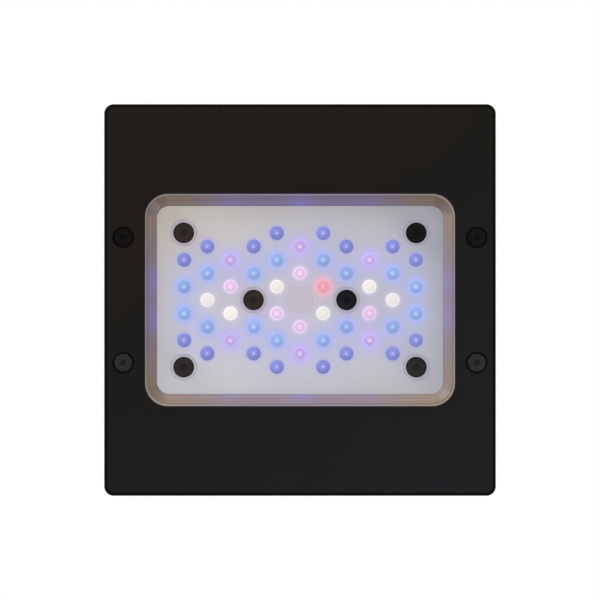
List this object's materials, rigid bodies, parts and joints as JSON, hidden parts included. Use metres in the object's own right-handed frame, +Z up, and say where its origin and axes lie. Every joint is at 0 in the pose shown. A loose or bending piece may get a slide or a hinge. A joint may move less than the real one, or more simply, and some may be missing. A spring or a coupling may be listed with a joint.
{
  "type": "led aquarium light",
  "caption": "Square hanging aquarium light: flat black casing, stepped clear lens over a white panel of coloured round LEDs, fan-cooled heat sink and bracket slots.",
  "frame": {"origin": "centre of the cover's flat top face, midway between the two hanger slots", "axes": "+Z up, away from the water; LEDs face -Z; -Y is the front edge with the buttons; +X runs along the lens's long side to the right-hand rail"},
  "size_m": [0.18, 0.18, 0.0422],
  "materials": {
    "housing_black": "satin black moulded face with a fine texture",
    "cover_black": "satin black moulded shell",
    "clear_acrylic": "clear polished acrylic",
    "gasket_rubber": "soft black seal",
    "reflector_white": "matt white reflector",
    "led_blue": "lit round emitters on a white board",
    "thermal_pad_grey": "soft grey pad",
    "sink_aluminium": "plain extruded",
    "fan_black": "moulded black",
    "circuit_board": "green lacquered board",
    "wire_black": "black insulation",
    "rail_aluminium": "black anodised",
    "button_grey": "dark grey soft-touch",
    "light_pipe_clear": "clear rod",
    "screw_black": "black oxide steel",
    "pin_metal": "plated contact pin"
  },
  "bodies": {
    "fixture": {"bottom_housing": "housing_black", "top_cover": "cover_black", "lens_cover": "clear_acrylic", "lens_gasket": "gasket_rubber", "reflector_plate": "reflector_white", "led_board": "led_blue", "thermal_pad": "thermal_pad_grey", "heatsink": "sink_aluminium", "fan_frame": "fan_black", "fan_grille": "cover_black", "control_board": "circuit_board", "power_inlet": "fan_black", "inlet_pin": "pin_metal", "power_lead": "wire_black", "fan_lead": "wire_black", "led_harness": "wire_black", "side_rail_left": "rail_aluminium", "side_rail_right": "rail_aluminium", "indicator_light_pipe": "light_pipe_clear", "lens_screw_1": "screw_black", "lens_screw_2": "screw_black", "lens_screw_3": "screw_black", "lens_screw_4": "screw_black", "lens_screw_5": "screw_black", "lens_screw_6": "screw_black", "housing_screw_1": "screw_black", "housing_screw_2": "screw_black", "housing_screw_3": "screw_black", "housing_screw_4": "screw_black", "cover_screw_1": "screw_black", "cover_screw_2": "screw_black", "cover_screw_3": "screw_black", "cover_screw_4": "screw_black", "fan_screw_1": "screw_black", "fan_screw_2": "screw_black", "fan_screw_3": "screw_black", "fan_screw_4": "screw_black"},
    "fan_rotor": {"fan_rotor": "fan_black"},
    "button_left": {"button_left": "button_grey"},
    "button_centre": {"button_centre": "button_grey"},
    "button_right": {"button_right": "button_grey"}
  },
  "joints": [
    {"name": "fan_spin", "type": "hinge", "parent": "fixture", "child": "fan_rotor", "pos_m": [0, 0, -0.0111], "axis": [0, 0, 1], "continuous": true},
    {"name": "button_left_press", "type": "slide", "parent": "fixture", "child": "button_left", "axis": [0, 0, -1], "range_m": [0, 0.0008], "stiffness_N_per_m": 1500},
    {"name": "button_centre_press", "type": "slide", "parent": "fixture", "child": "button_centre", "axis": [0, 0, -1], "range_m": [0, 0.0008], "stiffness_N_per_m": 1500},
    {"name": "button_right_press", "type": "slide", "parent": "fixture", "child": "button_right", "axis": [0, 0, -1], "range_m": [0, 0.0008], "stiffness_N_per_m": 1500}
  ]
}
